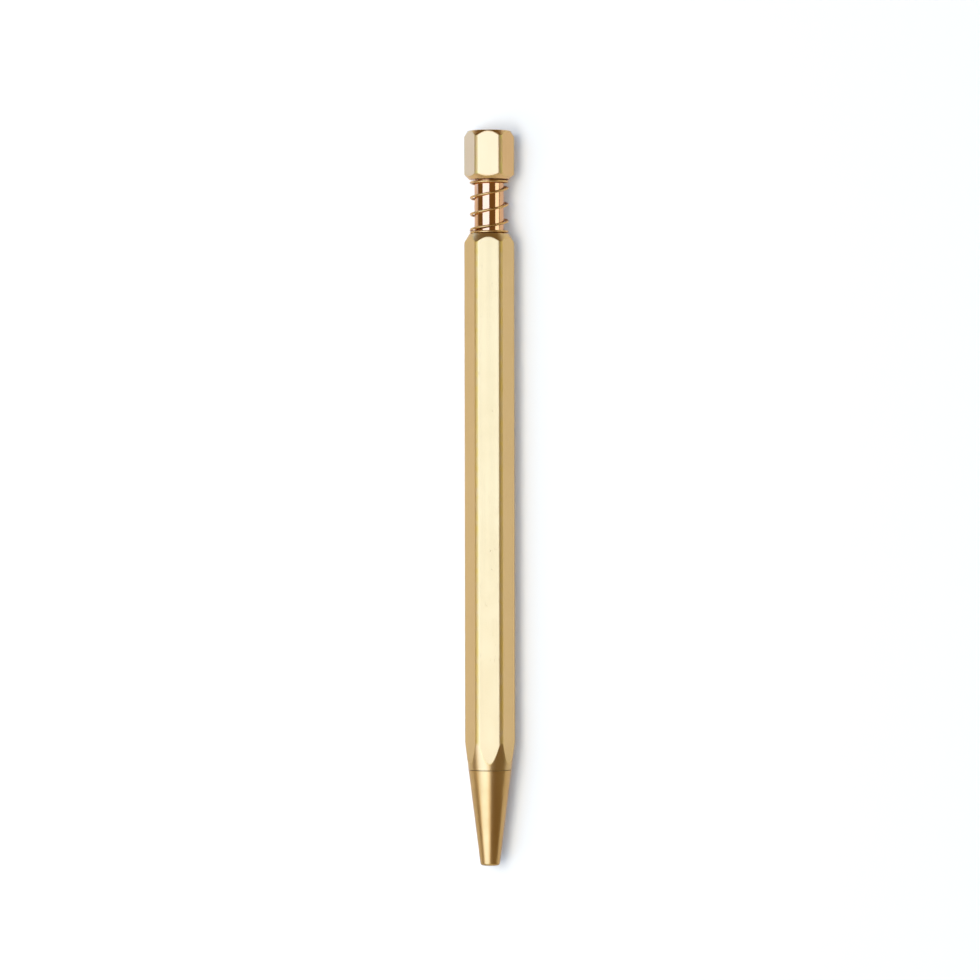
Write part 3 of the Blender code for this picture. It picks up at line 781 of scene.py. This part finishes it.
def soft_stuff(name, colour, pale, roughness, grain, depth):
    """Rubber, ink or plastic: fine grain and slightly uneven colour."""
    material, tree, shader = new_material(name, 0.0)
    place = term_of(tree, "ShaderNodeTexCoord", "Object")
    clouds = noise(tree, place, SOFT_CLOUD_SCALE, detail=3.0)
    tint = blend_colours(tree, clouds, (*colour, 1.0), (*pale, 1.0))
    rough = clouds * SOFT_CLOUD_ROUGHNESS + roughness
    finish_surface(tree, shader, tint, rough, noise(tree, place, grain), depth)
    return material


# Finishes
grain_group = make_grain_group()
tarnish_group = make_tarnish_group()
wear_and_shade_group = make_wear_and_shade_group()

bar_brass = brass(
    "drawn bar brass",
    # The third colour, yellow-olive, is partly wear and partly painted shade of the corner bands
    colours=((0.635, 0.45, 0.187), (0.605, 0.42, 0.164), (0.64, 0.43, 0.09)),
    roughness=0.17,
    spread=0.03,
    edge=0.30,
    cut=0.11,
    lines=(9000.0, 160.0),
    depth=0.0000004,
    clouds=(0.005, 1.0),
    scratches=1.0,
)
cap_brass = brass(
    "polished cap brass",
    # The third colour, yellow-olive, is partly wear and partly painted shade of the corner bands
    colours=((0.645, 0.425, 0.185), (0.615, 0.385, 0.15), (0.60, 0.46, 0.12)),
    roughness=0.12,
    spread=0.02,
    edge=0.40,
    cut=0.12,
    lines=(9000.0, 200.0),
    depth=0.0000003,
    clouds=(0.005, 0.8),
    scratches=0.6,
)
rod_brass = brass(
    "polished rod brass",
    colours=((0.68, 0.39, 0.20), (0.64, 0.36, 0.16), (0.72, 0.48, 0.27)),
    roughness=0.06,
    spread=0.03,
    edge=0.10,
    cut=0.0,
    lines=(300.0, 16000.0),
    depth=0.0000002,
    clouds=(0.004, 1.5),
    scratches=0.4,
)
nose_brass = brass(
    "turned nose brass",
    # The third colour is dark: painted shade along the nose's edges, chiefly the dark line round the lip
    colours=((0.64, 0.43, 0.155), (0.59, 0.375, 0.125), (0.40, 0.26, 0.10)),
    roughness=0.28,
    spread=0.03,
    edge=0.08,
    cut=0.0,
    lines=(260.0, 14000.0),
    depth=0.0000008,
    clouds=(0.004, 2.0),
    scratches=0.5,
)
plain_brass = plain_metal(
    "plain bush brass", colour=(0.58, 0.42, 0.19), dull=(0.46, 0.31, 0.13),
    roughness=0.24, lines=(300.0, 12000.0), depth=0.0000006,
)
bronze_wire = plain_metal(
    "bronze spring wire", colour=(0.66, 0.43, 0.15), dull=(0.56, 0.33, 0.10),
    roughness=0.22, lines=(2600.0, 2600.0), depth=0.0000004,
)
spring_steel = plain_metal(
    "steel", colour=(0.55, 0.56, 0.57), dull=(0.44, 0.45, 0.46),
    roughness=0.22, lines=(2400.0, 2400.0), depth=0.0000004,
)
nickel_silver = plain_metal(
    "nickel silver", colour=(0.62, 0.58, 0.50), dull=(0.52, 0.48, 0.40),
    roughness=0.20, lines=(400.0, 16000.0), depth=0.0000004,
)
seal_rubber = soft_stuff(
    "black rubber", colour=(0.012, 0.012, 0.012), pale=(0.022, 0.022, 0.022),
    roughness=0.5, grain=9000.0, depth=0.000004,
)
dark_ink = soft_stuff(
    "dark ink", colour=(0.006, 0.006, 0.010), pale=(0.010, 0.010, 0.016),
    roughness=0.2, grain=3000.0, depth=0.000001,
)
pale_plastic = soft_stuff(
    "pale plastic", colour=(0.70, 0.70, 0.68), pale=(0.64, 0.64, 0.61),
    roughness=0.4, grain=6000.0, depth=0.000002,
)

# Pieces on the barrel
turned_tree = make_turned_tree()
coil_tree = make_coil_tree()


def taper_station(radius):
    """Station where the shared taper reaches a radius."""
    return (radius - TIP_RADIUS) / TAPER


def taper_radius(station):
    """Radius of the shared taper at a station."""
    return TIP_RADIUS + station * TAPER


chamfer_run = (HEX_CLEAR_RADIUS - BARREL_FACE_RADIUS) / HEX_CHAMFER
barrel = turned(
    "hex_barrel",
    [
        (THREAD_BORE, BARREL_FOOT, EASED),
        (taper_radius(BARREL_FOOT), BARREL_FOOT, CRISP),
        (HEX_CLEAR_RADIUS, taper_station(HEX_CLEAR_RADIUS), 0.0),
        (HEX_CLEAR_RADIUS, BARREL_TOP - chamfer_run, 0.0),
        (BARREL_FACE_RADIUS, BARREL_TOP, EASED),
        (BARREL_BORE, BARREL_TOP, CRISP),
        (BARREL_BORE, THREAD_BORE_TOP, CRISP),
        (THREAD_BORE, THREAD_BORE_TOP, CRISP),
    ],
    bar_brass,
    hexagonal=True,
)
settle(barrel, "barrel", "bar_brass", "barrel")

barrel_thread = coiled(
    "barrel_thread", bar_brass,
    coil_radius=BARREL_RIDGE_RADIUS, wire_radius=BARREL_RIDGE_SECTION,
    first_place=MOUTH_Y + BARREL_RIDGE_FOOT, last_place=MOUTH_Y + BARREL_RIDGE_TOP,
    first_turn=(BARREL_RIDGE_FOOT - THREAD_ZERO) / THREAD_PITCH + 0.5,
    turns=(BARREL_RIDGE_TOP - BARREL_RIDGE_FOOT) / THREAD_PITCH,
    run_out=THREAD_RUN_OUT, points_per_turn=RIDGE_POINTS_PER_TURN, wire_sides=RIDGE_SIDES,
)
settle(barrel_thread, "barrel", "bar_brass")

bush = turned(
    "guide_bush_ring",
    [
        (BUSH_BORE, BUSH_FOOT, CRISP),
        (BUSH_RADIUS, BUSH_FOOT, CRISP),
        (BUSH_RADIUS, BARREL_TOP, CRISP),
        (BUSH_BORE, BARREL_TOP, EASED),
    ],
    plain_brass,
)
settle(bush, "barrel", "plain_brass", "guide_bush")

knock_coil = coiled(
    "knock_coil", bronze_wire,
    coil_radius=KNOCK_COIL, wire_radius=KNOCK_WIRE,
    first_place=MOUTH_Y + KNOCK_COIL_FOOT, last_place=MOUTH_Y + KNOCK_COIL_TOP,
    first_turn=KNOCK_FIRST_TURN, turns=KNOCK_TURNS, closed_turns=KNOCK_CLOSED_TURNS,
    lean_right=KNOCK_LEAN_RIGHT, lean_front=KNOCK_LEAN_FRONT, hang=KNOCK_HANG,
    run_out=SQUARE_CUT, points_per_turn=POINTS_PER_TURN, wire_sides=WIRE_SIDES,
)
settle(knock_coil, "barrel", "bronze_wire", "knock_spring")
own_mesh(knock_coil)

# Pieces on the knock
cap_top_run = (HEX_CLEAR_RADIUS - CAP_TOP_RADIUS) / HEX_CHAMFER
cap_foot_run = (HEX_CLEAR_RADIUS - CAP_FOOT_RADIUS) / CAP_FOOT_CHAMFER
cap = turned(
    "hex_cap",
    [
        (0.0, STUD_HOLE_TOP, 0.0),
        (STUD_HOLE_RADIUS, STUD_HOLE_TOP, CRISP),
        (STUD_HOLE_RADIUS, CAP_FOOT, CRISP),
        (CAP_FOOT_RADIUS, CAP_FOOT, EASED),
        (HEX_CLEAR_RADIUS, CAP_FOOT + cap_foot_run, 0.0),
        (HEX_CLEAR_RADIUS, CAP_TOP - cap_top_run, 0.0),
        (CAP_TOP_RADIUS, CAP_TOP, EASED),
        (0.0, CAP_TOP, 0.0),
    ],
    cap_brass,
    closed=False,
    hexagonal=True,
)
settle(cap, "knock", "bar_brass", "knock_cap")

rod = turned(
    "turned_rod",
    [
        (0.0, SOCKET_TOP, 0.0),
        (SOCKET_RADIUS, SOCKET_TOP, CRISP),
        (SOCKET_RADIUS, NECK_FOOT, EASED),
        (NECK_RADIUS, NECK_FOOT, EASED),
        (NECK_RADIUS, COLLAR_FOOT, CRISP),
        (COLLAR_RADIUS, COLLAR_FOOT, EASED),
        (COLLAR_RADIUS, COLLAR_TOP, EASED),
        (ROD_RADIUS, COLLAR_TOP, CRISP),
        (ROD_RADIUS, ROD_TOP, EASED),
        (STUD_RADIUS, ROD_TOP, CRISP),
        (STUD_RADIUS, STUD_TOP, SOFT),
        (0.0, STUD_TOP, 0.0),
    ],
    rod_brass,
    closed=False,
)
settle(rod, "knock", "polished_brass", "knock_rod")

# Pieces on the nose
nose = turned(
    "turned_nose",
    [
        (MOUTH_RADIUS, 0.0, EASED),
        (TIP_RADIUS, 0.0, LIP_FILLET),
        (taper_radius(NOSE_TOP), NOSE_TOP, CRISP),
        (SPIGOT_RADIUS, NOSE_TOP, CRISP),
        (SPIGOT_RADIUS, SEAL_FOOT, CRISP),
        (SEAL_FLOOR_RADIUS, SEAL_FOOT, CRISP),
        (SEAL_FLOOR_RADIUS, SEAL_TOP, CRISP),
        (SPIGOT_RADIUS, SEAL_TOP, CRISP),
        (SPIGOT_RADIUS, SPIGOT_TOP, SOFT),
        (CHAMBER_RADIUS, SPIGOT_TOP, EASED),
        (CHAMBER_RADIUS, CHAMBER_FOOT, CRISP),
        (WAIST_RADIUS, CHAMBER_FOOT, CRISP),
        (WAIST_RADIUS, MOUTH_TOP, CRISP),
        (MOUTH_RADIUS, MOUTH_TOP, CRISP),
    ],
    nose_brass,
)
settle(nose, "nose", "turned_brass", "nose_cone")

nose_thread = coiled(
    "nose_thread", nose_brass,
    coil_radius=NOSE_RIDGE_RADIUS, wire_radius=NOSE_RIDGE_SECTION,
    first_place=MOUTH_Y + NOSE_RIDGE_FOOT, last_place=MOUTH_Y + NOSE_RIDGE_TOP,
    first_turn=(NOSE_RIDGE_FOOT - THREAD_ZERO) / THREAD_PITCH,
    turns=(NOSE_RIDGE_TOP - NOSE_RIDGE_FOOT) / THREAD_PITCH,
    run_out=THREAD_RUN_OUT, points_per_turn=RIDGE_POINTS_PER_TURN, wire_sides=RIDGE_SIDES,
)
settle(nose_thread, "nose", "turned_brass")


def arc_outline(radius, station, size, first, last, steps):
    """Corners along an arc of a round section; angle 0 points away from the pen axis."""
    angles = [first + (last - first) * step / steps for step in range(steps + 1)]
    return [(radius + size * math.cos(a), station + size * math.sin(a), 0.0) for a in angles]


seal_outline = arc_outline(SEAL_RADIUS, SEAL_STATION, SEAL_CORD_RADIUS, 0.0, 2 * math.pi, SEAL_STEPS)
seal = turned("seal_ring", seal_outline[:-1], seal_rubber)
settle(seal, "nose_seal", "rubber", "nose_o_ring")

refill_coil = coiled(
    "refill_coil", spring_steel,
    coil_radius=REFILL_COIL, wire_radius=REFILL_WIRE,
    first_place=MOUTH_Y + REFILL_COIL_FOOT, last_place=MOUTH_Y + REFILL_COIL_TOP,
    first_turn=0.0, turns=REFILL_TURNS, closed_turns=REFILL_CLOSED_TURNS,
    run_out=SQUARE_CUT, points_per_turn=POINTS_PER_TURN, wire_sides=WIRE_SIDES,
)
settle(refill_coil, "nose_seal", "steel", "refill_spring")
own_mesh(refill_coil)

# Pieces of the refill
nib = turned(
    "refill_point",
    [
        (NIB_LIP_BORE, NIB_LIP_STATION, 0.0),
        (NIB_LIP_RADIUS, NIB_LIP_STATION, CRISP),
        (NIB_RADIUS, NIB_CONE_TOP, SOFT),
        (NIB_RADIUS, NIB_SHOULDER, CRISP),
        (TUBE_RADIUS, NIB_HEAD_FOOT, EASED),
        (TUBE_RADIUS, NIB_HEAD_TOP, CRISP),
        (NIB_SHANK_RADIUS, NIB_HEAD_TOP, CRISP),
        (NIB_SHANK_RADIUS, NIB_SHANK_TOP, EASED),
        (NIB_CHANNEL, NIB_SHANK_TOP, CRISP),
        (NIB_CHANNEL, BALL_SEAT_STATION, 0.0),
        (NIB_SEAT_RADIUS, BALL_STATION, 0.0),
    ],
    nickel_silver,
)
settle(nib, "refill", "nickel_silver", "refill_nib")

ball = turned(
    "writing_ball",
    arc_outline(0.0, BALL_STATION, BALL_RADIUS, -math.pi / 2, math.pi / 2, BALL_STEPS),
    spring_steel,
    closed=False,
)
settle(ball, "point_ball", "steel", "refill_ball")

tube = turned(
    "refill_case",
    [
        (TUBE_BORE, TUBE_FOOT, CRISP),
        (TUBE_RADIUS, TUBE_FOOT, CRISP),
        (TUBE_RADIUS, BEAD_FOOT, CRISP),
        (BEAD_RADIUS, BEAD_FOOT, SOFT),
        (BEAD_RADIUS, BEAD_TOP, SOFT),
        (TUBE_RADIUS, BEAD_TOP, CRISP),
        (TUBE_RADIUS, TUBE_TOP, CRISP),
        (TUBE_BORE, TUBE_TOP, CRISP),
    ],
    nickel_silver,
)
settle(tube, "refill", "nickel_silver", "refill_tube")

# Pieces that stay as the frame has them
for node, finish in (
    ("lock_sleeve", plain_brass),
    ("lock_pin", spring_steel),
    ("refill_ink", dark_ink),
    ("refill_plug", pale_plastic),
):
    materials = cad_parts[node].data.materials
    materials.clear()
    materials.append(finish)

# Floor: its tone, and what brass mirrors of it, which is dimmer far to the left and under the nose
WHITE = (1.0, 1.0, 1.0, 1.0)
FLOOR_HALF_SIZE = 4.0
FLOOR_SHADE = (0.872, 0.795, 0.567, 1.0)
FLOOR_GLOW = (0.12, 0.12, 0.12, 1.0)
FLOOR_MIRRORED_GLOW = (0.07, 0.0, 0.0, 1.0)
FLOOR_DIM_SHADE = (0.27, 0.23, 0.15, 1.0)
FLOOR_DIM_FROM = -0.022
FLOOR_DIM_TO = -0.045
NOSE_DIM_FROM = -0.044
NOSE_DIM_TO = -0.054
NOSE_DIM_SHARE = 0.28
FLOOR_WHITE_FROM = 0.16
FLOOR_WHITE_TO = 0.32

# Painted reflection: a patch of floor left of the cap that glows pale only to mirrored rays, so the cap's
# left side shows a pale reflection
CAP_SIDE_GLOW = (0.13, 0.35, 1.12, 1.0)
CAP_SIDE_FOOT = 0.0562
CAP_SIDE_TOP = 0.075
CAP_SIDE_NEAR = -0.004
CAP_SIDE_FAR = -0.040
CAP_SIDE_EDGE = 0.003

# Room: its light, and what brass mirrors of it, which is brighter towards the front
ROOM_LIGHT = (0.11, 0.15, 0.29, 1.0)
ROOM_SEEN = (0.23, 0.145, 0.05, 1.0)
ROOM_FRONT_SEEN = (0.85, 0.82, 0.76, 1.0)
ROOM_FRONT_FROM = -0.50
ROOM_FRONT_TO = -0.75


def make_paper():
    """White paper that keeps the shadow of the pen and is plain white far from it."""
    material = bpy.data.materials.new("white paper")
    material.use_nodes = True
    tree = material.node_tree
    tree.nodes.clear()
    rays = add_node(tree, "ShaderNodeLightPath")
    watched = Term(tree, rays.outputs["Is Camera Ray"])
    mirrored = Term(tree, rays.outputs["Is Glossy Ray"])
    passed = Term(tree, rays.outputs["Is Transmission Ray"])
    here = term_of(tree, "ShaderNodeTexCoord", "Object")
    parts = add_node(tree, "ShaderNodeSeparateXYZ", {"Vector": here})
    to_right = Term(tree, parts.outputs["X"])
    to_back = Term(tree, parts.outputs["Y"])

    left_dim = to_right.ranged(FLOOR_DIM_TO, FLOOR_DIM_FROM, 1.0, 0.0)
    nose_dim = to_back.ranged(NOSE_DIM_TO, NOSE_DIM_FROM, NOSE_DIM_SHARE, 0.0)
    dim = mirrored * left_dim.function("MAXIMUM", nose_dim)
    tone = blend_colours(tree, dim, FLOOR_SHADE, FLOOR_DIM_SHADE)
    matt = term_of(tree, "ShaderNodeBsdfDiffuse", "BSDF", {"Color": tone})

    # Painted reflection patch to the left of the cap, seen only by mirrored rays
    cap_side = (
        to_back.ranged(CAP_SIDE_FOOT, CAP_SIDE_FOOT + CAP_SIDE_EDGE, 0.0, 1.0)
        * to_back.ranged(CAP_SIDE_TOP, CAP_SIDE_TOP + CAP_SIDE_EDGE, 1.0, 0.0)
        * to_right.ranged(CAP_SIDE_NEAR - CAP_SIDE_EDGE, CAP_SIDE_NEAR, 1.0, 0.0)
        * to_right.ranged(CAP_SIDE_FAR - CAP_SIDE_EDGE, CAP_SIDE_FAR, 0.0, 1.0)
    )
    mirrored_glow = blend_colours(tree, cap_side, FLOOR_MIRRORED_GLOW, CAP_SIDE_GLOW)
    glow_tone = blend_colours(tree, mirrored, FLOOR_GLOW, mirrored_glow)
    looked_at = watched.function("MAXIMUM", mirrored).function("MAXIMUM", passed)
    glow = term_of(tree, "ShaderNodeEmission", "Emission", {"Color": glow_tone, "Strength": looked_at})
    near = term_of(tree, "ShaderNodeAddShader", "Shader", {0: matt, 1: glow})

    distance = term_of(tree, "ShaderNodeVectorMath", "Value", {0: here}, operation="LENGTH")
    far = watched * distance.ranged(FLOOR_WHITE_FROM, FLOOR_WHITE_TO, 0.0, 1.0)
    white = term_of(tree, "ShaderNodeEmission", "Emission", {"Color": WHITE})
    shown = term_of(tree, "ShaderNodeMixShader", "Shader", {"Fac": far, 1: near, 2: white})
    add_node(tree, "ShaderNodeOutputMaterial", {"Surface": shown})
    return material


floor_mesh = bpy.data.meshes.new("floor")
floor_mesh.from_pydata(
    [(x * FLOOR_HALF_SIZE, y * FLOOR_HALF_SIZE, 0.0) for x, y in ((-1, -1), (1, -1), (1, 1), (-1, 1))],
    [],
    [(0, 1, 2, 3)],
)
floor_mesh.materials.append(make_paper())
floor = bpy.data.objects.new("floor", floor_mesh)
bpy.context.scene.collection.objects.link(floor)


def make_room():
    """The room round the pen: white to the eye, warm and dark to brass, and a cool fill light."""
    world = bpy.data.worlds.new("studio")
    world.use_nodes = True
    tree = world.node_tree
    rays = add_node(tree, "ShaderNodeLightPath")
    watched = Term(tree, rays.outputs["Is Camera Ray"])
    mirrored = Term(tree, rays.outputs["Is Glossy Ray"])
    direction = term_of(tree, "ShaderNodeTexCoord", "Generated")
    to_back = term_of(tree, "ShaderNodeSeparateXYZ", "Y", {"Vector": direction})
    front = to_back.ranged(ROOM_FRONT_TO, ROOM_FRONT_FROM, 1.0, 0.0, "SMOOTHSTEP")
    tone = blend_colours(tree, front, ROOM_SEEN, ROOM_FRONT_SEEN)
    tone = blend_colours(tree, mirrored, ROOM_LIGHT, tone)
    tone = blend_colours(tree, watched, tone, WHITE)
    feed(tree, tree.nodes["Background"].inputs["Color"], tone)
    return world


bpy.context.scene.world = make_room()


def panel(name, place, target, width, length, radiance, colour):
    """A soft rectangular lamp that faces a target; width lies across the pen, length along it."""
    lamp = bpy.data.lights.new(name, "AREA")
    lamp.shape = "RECTANGLE"
    lamp.size = width
    lamp.size_y = length
    lamp.energy = radiance * math.pi * width * length
    lamp.color = colour
    obj = bpy.data.objects.new(name, lamp)
    obj.location = place
    away = (Vector(place) - Vector(target)).normalized()
    along = (Vector((0, 1, 0)) - away * away.y).normalized()
    across = along.cross(away)
    obj.rotation_euler = Matrix((across, along, away)).transposed().to_euler()
    obj.visible_camera = False
    bpy.context.scene.collection.objects.link(obj)
    return obj


def overhead(name, degrees, stretch, radiance, colour, distance=1.0):
    """A panel above the pen; its degrees count to the left from straight up, its stretch along the pen."""
    first, last = [math.radians(angle) for angle in degrees]
    low, high = stretch
    middle = (first + last) / 2
    width = 2 * distance * math.tan((first - last) / 2)
    along = (low + high) / 2
    place = (-distance * math.sin(middle), along, distance * math.cos(middle))
    return panel(name, place, (0, along, 0), width, high - low, radiance, colour)


# Lamps
SKY_BLUE = (0.72, 1.0, 1.86)
CARD_BLUE = (0.80, 1.0, 1.25)
PAPER_WHITE = (1.0, 1.0, 1.0)
SUN_WARM = (1.08, 1.0, 0.92)
SKIRT_WARM = (1.08, 1.0, 1.05)
MIDDLE_BLUE = (0.06, 1.0, 3.3)
PEN_STRETCH = (-0.20, 0.60)
NOSE_STRETCH = (-0.75, -0.20)
KEY_STRETCH = (-0.26, 0.22)

overhead("wide_softbox", (50, -2), PEN_STRETCH, radiance=2.30, colour=SKY_BLUE)
overhead("nose_softbox", (71, -2), NOSE_STRETCH, radiance=1.5, colour=SKIRT_WARM)
overhead("nose_softbox_middle", (63, 9), NOSE_STRETCH, radiance=0.8, colour=MIDDLE_BLUE)
key = overhead("key_softbox", (26, 10), KEY_STRETCH, radiance=10.0, colour=SUN_WARM, distance=0.98)
key.visible_glossy = False
panel(
    "right_card", place=(0.70, 0.215, 0.29), target=(0, 0.215, 0.1),
    width=0.45, length=0.39, radiance=2.0, colour=CARD_BLUE,
)
panel(
    "left_card", place=(-0.70, -0.02, 0.20), target=(0, -0.02, 0.1),
    width=0.40, length=0.22, radiance=1.0, colour=PAPER_WHITE,
)

# Camera
CAMERA_DISTANCE = 0.756
CAMERA_LEAN = math.radians(1.8)
CAMERA_ROLL = math.radians(-0.09)
SENSOR_WIDTH = 36.0
VIEW_WIDTH = 0.1764
AIM = Vector((0.000072, 0.001485, AXIS_HEIGHT))

camera_data = bpy.data.cameras.new("camera")
camera_data.sensor_width = SENSOR_WIDTH
camera_data.lens = SENSOR_WIDTH * CAMERA_DISTANCE / VIEW_WIDTH
camera = bpy.data.objects.new("camera", camera_data)
camera_turn = Matrix.Rotation(CAMERA_LEAN, 4, "Y") @ Matrix.Rotation(CAMERA_ROLL, 4, "Z")
camera.matrix_world = Matrix.Translation(AIM) @ camera_turn @ Matrix.Translation((0, 0, CAMERA_DISTANCE))
bpy.context.scene.collection.objects.link(camera)
bpy.context.scene.camera = camera
bpy.context.scene.view_settings.view_transform = "Standard"
